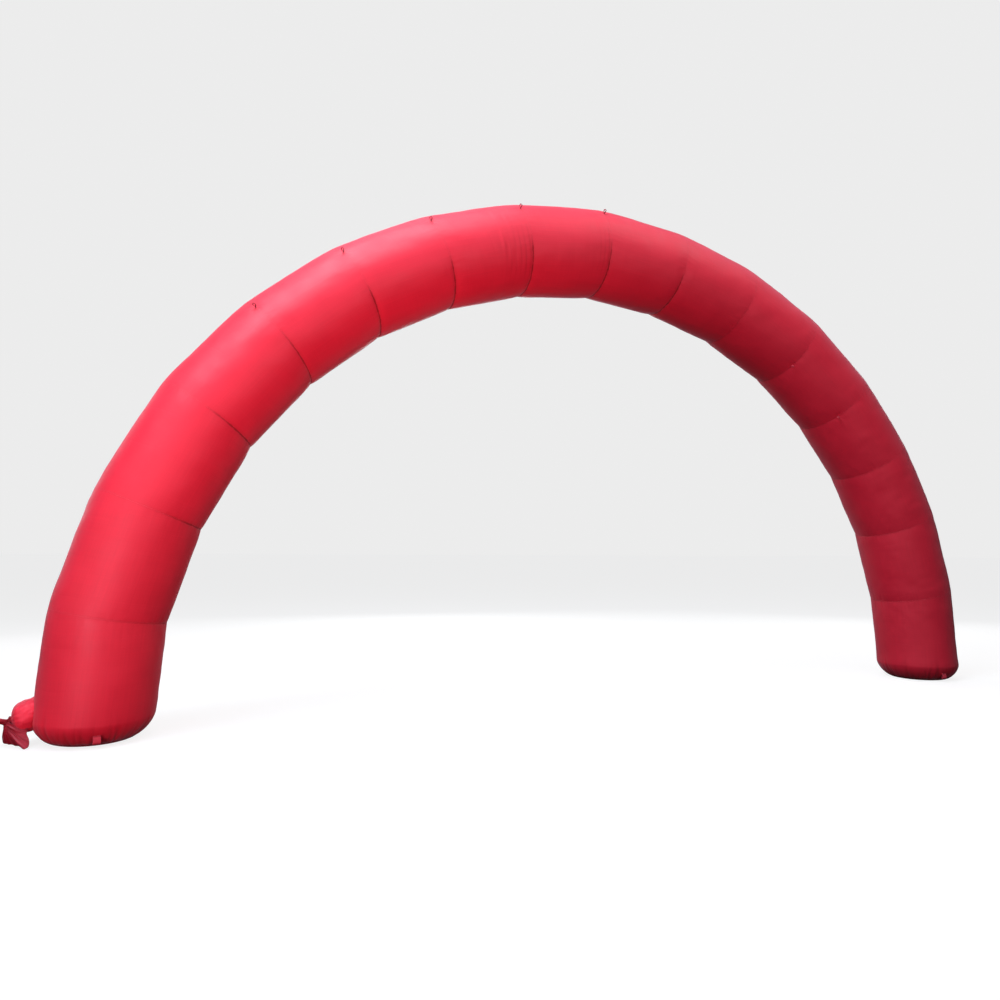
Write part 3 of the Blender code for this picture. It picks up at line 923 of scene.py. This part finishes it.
def strip_path(loop):
    """The middle line of a folded strip, up one side of its stem, round the eye and back down."""
    half = loop.thick / 2 + 0.00005
    turn = even_turns(EYE_STEPS)[1:]
    side = np.sin(turn) * np.sin(turn / 2) / EYE_WIDEST * (loop.eye + loop.thick) / 2
    low = loop.stem - loop.thick
    up = low + (loop.reach - loop.thick / 2 - low) * (1 - np.cos(turn)) / 2
    kept = (np.abs(side) > half * 1.25) & (up > loop.stem)
    side, up = side[kept], up[kept]
    stem = np.linspace(0, loop.stem * 0.9, 6)
    side = np.concatenate([np.full(6, half), side, np.full(6, -half)])
    up = np.concatenate([stem, up, stem[::-1]])
    for _ in range(3):
        side[1:-1] = (side[:-2] + 2 * side[1:-1] + side[2:]) / 4
        up[1:-1] = (up[:-2] + 2 * up[1:-1] + up[2:]) / 4
    return side, up


def strip_outline(loop):
    """A strip's section: flat faces with woven ridges, and rounded selvedges."""
    a = loop.thick / 2
    b = loop.width / 2
    bend = a * 0.8
    ridges = max(6, round(loop.width / RIDGE_WIDTH))
    flat = np.linspace(-(b - bend), b - bend, ridges * 4 + 1)
    ridge = a - RIDGE_DEPTH * (1 + np.cos(2 * np.pi * ridges * (flat / (2 * (b - bend)) + 0.5)))
    corner_turn = np.linspace(0, np.pi / 2, 5)[1:-1]
    edge = [(a * np.cos(t), b - bend + bend * np.sin(t)) for t in corner_turn]
    one = list(zip(ridge, flat)) + edge + [(0.0, b)]
    edge = [(-x, y) for x, y in edge[::-1]]
    other = edge + [(-x, y) for x, y in zip(ridge[::-1], flat[::-1])]
    low = [(-a * np.cos(t), -(b - bend) - bend * np.sin(t)) for t in corner_turn]
    low = low + [(0.0, -b)] + [(-x, y) for x, y in low[::-1]]
    return np.array(one + other + low)


def add_strip(name, node, loop, root, thickness_way, reach_way, material):
    """A loop on its root, with its eye's axis square to both directions."""
    side, up = strip_path(loop)
    eye_way = np.cross(thickness_way, reach_way)
    path = root + np.outer(side, thickness_way) + np.outer(up, reach_way)
    face = np.cross(unit_rows(np.gradient(path, axis=0)), eye_way)
    widths = np.broadcast_to(eye_way, path.shape)
    outline = strip_outline(loop)
    rows = swept(path, face, widths, np.broadcast_to(outline, (len(path), *outline.shape)))
    lengths = run_along(path)
    uv = np.stack(np.broadcast_arrays(run_along(outline)[None, :], lengths[:, None]), axis=2)
    distance = np.minimum(lengths, lengths[-1] - lengths)[:, None]
    mesh = grid_mesh(name, rows, uv, distance, 0.5, sharp=50)
    return add_piece(name, mesh, material, [node])


def add_seam_loop(number, material):
    ring = seam_ring(number)
    out = spokes(ring, np.radians([SEAM_LOOP_ANGLES[number]]))[0]
    along = np.array([ring.outward[2], 0, -ring.outward[0]])
    root = ring.centre + out * (TUBE_RADIUS - SEAM_DRAW + STEM_CLEARANCE)
    name = f"seam_loop_{number:02d}"
    return add_strip(f"webbing_{name}", name, SEAM_LOOP, root, along, out, material)


def add_foot_loop(side, name, material):
    radius, height = corner(FOOT_LOOP_TURN)
    ring = foot_ring(side, height)
    out = spokes(ring, np.radians([FOOT_LOOP_ANGLE]))[0]
    root = ring.centre + out * (radius + GAP + FOOT_LOOP.thick)
    return add_strip(f"webbing_{name}", name, FOOT_LOOP, root, out, -UP, material)


# Materials


class Nodes:
    """The nodes of a material or world. Inputs are values or other nodes' outputs."""

    def __init__(self, owner):
        owner.use_nodes = True
        self.tree = owner.node_tree

    def put(self, value, socket):
        if isinstance(value, bpy.types.NodeSocket):
            self.tree.links.new(value, socket)
        else:
            socket.default_value = value

    def add(self, kind, inputs=None, **settings):
        node = self.tree.nodes.new("ShaderNode" + kind)
        for key, value in settings.items():
            setattr(node, key, value)
        for key, value in (inputs or {}).items():
            self.put(value, node.inputs[key])
        return node

    def math(self, operation, a, b=0.0, clamp=False):
        return self.add("Math", {0: a, 1: b}, operation=operation, use_clamp=clamp).outputs[0]

    def times(self, a, b, clamp=False):
        return self.math("MULTIPLY", a, b, clamp)

    def total(self, *parts, clamp=False):
        """The sum of values, each given with its weight."""
        result = 0.0
        for value, weight in parts:
            result = self.math("ADD", result, self.times(value, weight), clamp)
        return result

    def repeat(self, value, times):
        return self.math("FRACT", self.times(value, times))

    def away(self, value, middle):
        return self.math("ABSOLUTE", self.math("SUBTRACT", value, middle))

    def noise(self, vector, scale, detail=3.0, roughness=0.5):
        inputs = {"Vector": vector, "Scale": scale, "Detail": detail, "Roughness": roughness}
        return self.add("TexNoise", inputs).outputs["Fac"]

    def streaks(self, cloth, scale):
        """Noise drawn out along the warp or the weft."""
        drawn_out = self.add("Mapping", {"Vector": cloth, "Scale": scale}).outputs[0]
        return self.noise(drawn_out, 1.0, 3.0, 0.6)

    def bands(self, cloth, direction, scale, distortion=0.0):
        inputs = {"Vector": cloth, "Scale": scale, "Distortion": distortion}
        return self.add("TexWave", inputs, bands_direction=direction).outputs["Fac"]

    def ramp(self, value, low, high, to_low=0.0, to_high=1.0, smooth=True):
        kind = "SMOOTHSTEP" if smooth else "LINEAR"
        ends = {"From Min": low, "From Max": high, "To Min": to_low, "To Max": to_high}
        node = self.add("MapRange", {"Value": value, **ends}, interpolation_type=kind)
        return node.outputs[0]

    def mixed(self, share, a, b):
        return self.add("Mix", {"Factor": share, 6: a, 7: b}, data_type="RGBA").outputs[2]

    def fact(self, name):
        """One of the values that a mesh carries at its points."""
        return self.add("Attribute", attribute_name=name).outputs["Fac"]

    def bumped(self, height, distance, strength, under=None):
        inputs = {"Height": height, "Distance": distance, "Strength": strength}
        if under is not None:
            inputs["Normal"] = under
        return self.add("Bump", inputs).outputs[0]


def new_material(name, values):
    """A material, its nodes and its shader's inputs, with the values that are even all over it."""
    material = bpy.data.materials.new(name)
    nodes = Nodes(material)
    inputs = nodes.tree.nodes["Principled BSDF"].inputs
    for key, value in values.items():
        inputs[key].default_value = value
    return material, nodes, inputs


def cloth_places(nodes):
    """The place in space, the place on the cloth, and the latter's two numbers."""
    place = nodes.add("TexCoord").outputs["Object"]
    cloth = nodes.add("UVMap", uv_map="cloth").outputs[0]
    return place, cloth, nodes.add("SeparateXYZ", {0: cloth}).outputs


STITCHES_PER_METRE = 160
STITCH_SHARE = 0.68
STITCH_LINE = 0.0085
THREADS_PER_METRE = 2100
# The Blender wave texture's scale for one band a metre
BAND = 1 / 5
# How far apart the creases from packing are, round the tube and along it
PACKED_APART = (0.352, 0.318)
# How dark the painted shade at the bottom of a deep tuck is
TUCK_DARK = 0.42
Nylon = namedtuple("Nylon", "deep bright crumple folds sheen")


def nylon(name, look):
    """Thin coated nylon: a plain weave, soft folds from packing, streaks, a silky shine, and painted
    shade along its seams and in its tucks and creases.
    """
    material, nodes, inputs = new_material(name, {
        "Specular IOR Level": 0.45, "Sheen Weight": look.sheen, "Sheen Roughness": 0.40,
        "Sheen Tint": (1.0, 0.80, 0.90, 1.0)})
    place, cloth, apart = cloth_places(nodes)
    shade = (look.deep[0] * 0.50, 0.0, look.deep[2] * 0.10, 1.0)

    patch = nodes.noise(place, 5.0, 4.0, 0.55)
    warp = nodes.streaks(cloth, (95, 1.6, 1))
    weft = nodes.streaks(cloth, (1.3, 80, 1))
    tone = nodes.total((nodes.noise(place, 0.9, 2.0), 0.45), (patch, 0.25), (warp, 0.36), (weft, 0.24))
    colour = nodes.mixed(nodes.ramp(tone, 0.38, 0.92, smooth=False), look.deep, look.bright)

    # Painted shade: a band and a darker line along each seam's groove, as strong as the dark fact, and
    # more in folds and tucks by the tucked fact, mixed towards shade and made rougher
    distance = nodes.fact("seam")
    seam_shade_band = nodes.times(nodes.ramp(distance, 0.0, 0.045, 0.28, 0.0), patch)
    line_width = nodes.ramp(nodes.noise(place, 24.0, 2.0), 0.35, 0.65, 0.0055, 0.0130)
    line = nodes.ramp(distance, 0.001, line_width, 0.95, 0.0)
    painted_shade_mix = nodes.times(nodes.math("ADD", seam_shade_band, line), nodes.fact("dark"), clamp=True)
    painted_shade_mix = nodes.math("ADD", painted_shade_mix, nodes.times(nodes.fact("tucked"), TUCK_DARK), clamp=True)
    colour = nodes.mixed(painted_shade_mix, colour, shade)

    dash = nodes.math("LESS_THAN", nodes.repeat(apart[0], STITCHES_PER_METRE), STITCH_SHARE)
    thread = nodes.ramp(nodes.away(distance, STITCH_LINE), 0.0004, 0.0010, 1.0, 0.0)
    stitch = nodes.times(thread, dash)
    nodes.put(nodes.mixed(nodes.times(stitch, 0.45), colour, shade), inputs["Base Color"])
    rough = nodes.math("ADD", nodes.ramp(patch, 0.3, 0.7, 0.50, 0.60), nodes.times(painted_shade_mix, 0.35))
    nodes.put(rough, inputs["Roughness"])

    weave = [nodes.bands(cloth, way, THREADS_PER_METRE * BAND) for way in "XY"]
    bump = nodes.bumped(nodes.times(*weave), 0.00012, 0.6)
    bump = nodes.bumped(nodes.noise(place, 7.0, 5.0, 0.55), look.crumple, 0.5, bump)
    wobble = nodes.times(nodes.noise(place, 2.2, 2.0), 0.05)
    packed = []
    for run, spacing in zip(apart, PACKED_APART):
        cell = nodes.repeat(nodes.math("ADD", run, wobble), 1 / spacing)
        packed.append(nodes.ramp(nodes.away(cell, 0.5), 0.0, 0.030))
    bump = nodes.bumped(nodes.times(*packed), look.folds, 0.5, bump)
    nodes.put(nodes.bumped(stitch, 0.0006, 0.8, bump), inputs["Normal"])
    return material


BARS_PER_METRE = 320
BAR_SHARE = 0.35
BAR_REACH = 0.010
BAR_STITCHES_PER_METRE = 420
Weave = namedtuple("Weave", "deep bright ribs")


def webbing(name, look):
    """Woven strip: ribs across it, a soft fibre shine and rows of stitches on the stem."""
    material, nodes, inputs = new_material(name, {
        "Specular IOR Level": 0.35, "Sheen Weight": 0.08, "Sheen Roughness": 0.5})
    place, cloth, apart = cloth_places(nodes)
    ribs = nodes.bands(cloth, "Y", look.ribs * BAND, 0.6)
    warp = nodes.bands(cloth, "X", 1.25 * look.ribs * BAND, 0.4)
    weave = nodes.times(ribs, nodes.ramp(warp, 0.0, 1.0, 0.5, 1.0))
    wear = nodes.noise(place, 60.0, 4.0, 0.6)
    tone = nodes.ramp(nodes.total((weave, 0.6), (wear, 0.5)), 0.15, 0.9, smooth=False)
    colour = nodes.mixed(tone, look.deep, look.bright)

    distance = nodes.fact("seam")
    on_bar = nodes.math("LESS_THAN", nodes.repeat(distance, BARS_PER_METRE), BAR_SHARE)
    bar = nodes.times(on_bar, nodes.math("LESS_THAN", distance, BAR_REACH))
    dash = nodes.math("LESS_THAN", nodes.repeat(apart[0], BAR_STITCHES_PER_METRE), 0.6)
    stitch = nodes.times(bar, dash)
    thread = (*(x * 0.4 for x in look.deep[:3]), 1.0)
    nodes.put(nodes.mixed(nodes.times(stitch, 0.6), colour, thread), inputs["Base Color"])
    nodes.put(nodes.ramp(wear, 0.3, 0.7, 0.62, 0.80), inputs["Roughness"])
    bump = nodes.bumped(weave, 0.0003, 0.8)
    nodes.put(nodes.bumped(stitch, 0.0005, 0.7, bump), inputs["Normal"])
    return material


ARCH_NYLON = Nylon((0.61, 0.011, 0.033, 1.0), (0.77, 0.016, 0.044, 1.0), 0.0030, 0.0006, 0.25)
# A darker copy of the arch's nylon for the base cloth against the ground: painted shade
SHADED_BASE_CLOTH = Nylon((0.40, 0.008, 0.020, 1.0), (0.52, 0.012, 0.028, 1.0), 0.0040, 0.0006, 0.10)
# A brighter copy of the arch's nylon for the sleeve's bulb: painted light
LIT_BULB_CLOTH = Nylon((0.80, 0.018, 0.048, 1.0), (0.94, 0.030, 0.070, 1.0), 0.0040, 0.0, 0.35)
# A darker copy of the arch's nylon for the sleeve's loose end: painted shade
SHADED_TAIL_CLOTH = Nylon((0.30, 0.004, 0.018, 1.0), (0.42, 0.007, 0.030, 1.0), 0.0045, 0.0, 0.10)
# A darker copy of the red webbing for the loops on the upper front of the tube: painted shade
SHADED_WEBBING = Weave((0.24, 0.008, 0.020, 1.0), (0.40, 0.016, 0.034, 1.0), 900)
RED_WEBBING = Weave((0.46, 0.020, 0.040, 1.0), (0.66, 0.050, 0.080, 1.0), 900)
CORD_WEAVE = Weave((0.16, 0.006, 0.012, 1.0), (0.32, 0.012, 0.024, 1.0), 1400)
nylon_red = nylon("coated_nylon_red", ARCH_NYLON)
base_shaded = nylon("base_nylon_painted_shade", SHADED_BASE_CLOTH)
webbing_shaded = webbing("webbing_painted_shade", SHADED_WEBBING)
webbing_red = webbing("webbing_red", RED_WEBBING)

left_foot = add_foot_drum(1, -1, nylon_red)
drums = [left_foot] + [add_drum(number, nylon_red) for number in range(2, PANELS)]
for drum in drums + [add_foot_drum(PANELS, 1, nylon_red)]:
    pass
for word, side in (("left", -1), ("right", 1)):
    add_base(f"base_cloth_{word}", f"base_panel_{word}", side, base_shaded)

add_bulb(left_foot, nylon("bulb_nylon_painted_light", LIT_BULB_CLOTH))
add_tie(webbing("cord_maroon", CORD_WEAVE))
tail = add_tail(nylon("tail_nylon_painted_shade", SHADED_TAIL_CLOTH))
# Loops on the upper front of the tube get the darker webbing copy, which is painted shade; those
# further round get the plain red
for number, degrees in SEAM_LOOP_ANGLES.items():
    add_seam_loop(number, webbing_shaded if degrees < 90 else webbing_red)
add_foot_loop(-1, "foot_loop_left", webbing_red)
add_foot_loop(1, "foot_loop_right", webbing_red)

# The stage: a plain pale floor, soft light and the photo's viewpoint

FLOOR_HALF = 300.0
FLOOR_GLOW = 0.82
FLOOR_GREY = (0.25, 0.25, 0.25, 1.0)


def add_floor():
    """The ground under the arch: the camera sees it pale, and it lights nothing."""
    mesh = bpy.data.meshes.new("floor")
    corners = [(FLOOR_HALF * x, FLOOR_HALF * y, 0) for x, y in ((-1, -1), (1, -1), (1, 1), (-1, 1))]
    mesh.from_pydata(corners, [], [(0, 1, 2, 3)])
    obj = bpy.data.objects.new("floor", mesh)
    bpy.context.scene.collection.objects.link(obj)
    add_material(obj, new_material("pale_floor", {
        "Base Color": FLOOR_GREY, "Roughness": 1.0, "Specular IOR Level": 0.0,
        "Emission Color": (1.0, 1.0, 1.0, 1.0), "Emission Strength": FLOOR_GLOW})[0])
    obj.visible_diffuse = False
    obj.visible_glossy = False


add_floor()

# The sky: light from above, little from the sides, and plain pale where the camera sees it
SKY = ((0.0, 0.0), (0.48, 0.005), (0.55, 0.01), (0.75, 0.03), (1.0, 0.06))
SKY_TINT = (0.80, 0.92, 1.15)
BACKDROP = 0.84
world = bpy.data.worlds.new("studio")
sky = Nodes(world)
heading = sky.add("TexCoord").outputs["Generated"]
height = sky.add("SeparateXYZ", {0: heading}).outputs["Z"]
steps = sky.add("ValToRGB", {"Fac": sky.ramp(height, -1.0, 1.0, smooth=False)})
while len(steps.color_ramp.elements) < len(SKY):
    steps.color_ramp.elements.new(0.5)
for element, (place, grey) in zip(steps.color_ramp.elements, SKY):
    element.position = place
    element.color = (*(grey * tint for tint in SKY_TINT), 1.0)
seen = sky.add("LightPath").outputs["Is Camera Ray"]
shown = sky.mixed(seen, steps.outputs["Color"], (BACKDROP, BACKDROP, BACKDROP, 1.0))
sky.put(shown, sky.tree.nodes["Background"].inputs["Color"])
bpy.context.scene.world = world


Lamp = namedtuple("Lamp", "name place target size power colour spread")
LAMPS = (
    Lamp("overhead", (-3.5, -1.5, 11.0), (-1.5, 0.0, 4.0), 7.0, 810.0, (0.83, 0.89, 1.0), 180),
    Lamp("left_high", (-8.0, -4.0, 10.0), (-2.0, 0.0, 4.0), 5.0, 140.0, (0.62, 0.82, 1.0), 70),
    Lamp("left_far", (-11.0, -3.0, 3.5), (-4.5, 0.0, 2.0), 5.0, 66.0, (1.0, 0.90, 0.90), 180),
    Lamp("left_low", (-7.5, -7.0, 0.6), (-2.5, 0.0, 3.2), 3.0, 150.0, (1.0, 0.54, 0.66), 80),
    Lamp("front", (0.5, -9.0, 3.5), (1.5, 0.0, 2.5), 5.0, 180.0, (0.94, 0.94, 1.0), 180),
    Lamp("front_low", (-3.0, -8.0, 0.6), (-3.5, 0.0, 1.5), 3.0, 16.0, (1.0, 0.10, 0.20), 90),
    Lamp("right_top", (3.5, -3.0, 9.0), (3.0, 0.0, 2.5), 5.0, 165.0, (1.0, 0.90, 0.92), 180),
    Lamp("from_below", (-1.8, -0.8, 0.05), (-1.8, -0.8, 5.0), 3.5, 15.0, (1.0, 0.10, 0.16), 70),
    Lamp("inner_fill", (-2.4, -1.2, 0.5), (-4.3, 0.0, 1.0), 1.5, 2.4, (1.0, 0.20, 0.25), 120),
    Lamp("behind", (1.0, 10.0, 5.5), (0.0, 0.0, 2.5), 6.0, 400.0, (1.0, 1.0, 1.0), 180),
    Lamp("right_back", (10.5, 5.5, 5.0), (4.6, 0.0, 2.2), 5.0, 220.0, (1.0, 1.0, 1.0), 180),
    Lamp("left_back", (-8.0, 7.5, 4.0), (-4.0, 0.0, 2.0), 5.0, 90.0, (1.0, 0.95, 0.97), 180),
)


def add_lamp(lamp):
    """A round soft light that the camera doesn't see."""
    light = bpy.data.lights.new(lamp.name, "AREA")
    light.shape = "DISK"
    light.size = lamp.size
    light.energy = lamp.power
    light.color = lamp.colour
    light.spread = math.radians(lamp.spread)
    obj = bpy.data.objects.new(lamp.name, light)
    obj.location = lamp.place
    obj.rotation_mode = "QUATERNION"
    obj.rotation_quaternion = (Vector(lamp.target) - Vector(lamp.place)).to_track_quat("-Z", "Y")
    obj.visible_camera = False
    bpy.context.scene.collection.objects.link(obj)


for lamp in LAMPS:
    add_lamp(lamp)

# The camera, as it was matched to the photo
EYE = Vector((-3.674, -7.112, 1.5215))
YAW = math.radians(21.359)
PITCH = math.radians(3.84)
ROLL = math.radians(0.275)
LENS = 27.684
SENSOR = 36.0
ahead = Vector((math.sin(YAW) * math.cos(PITCH), math.cos(YAW) * math.cos(PITCH), math.sin(PITCH)))
level = Vector((math.cos(YAW), -math.sin(YAW), 0))
upright = level.cross(ahead)
right = level * math.cos(ROLL) + upright * math.sin(ROLL)
upward = upright * math.cos(ROLL) - level * math.sin(ROLL)
camera_data = bpy.data.cameras.new("camera")
camera_data.lens = LENS
camera_data.sensor_width = SENSOR
camera_data.clip_end = 500.0
camera = bpy.data.objects.new("camera", camera_data)
camera.matrix_world = Matrix.Translation(EYE) @ Matrix((right, upward, -ahead)).transposed().to_4x4()
bpy.context.scene.collection.objects.link(camera)
bpy.context.scene.camera = camera
bpy.context.scene.view_settings.view_transform = "Standard"
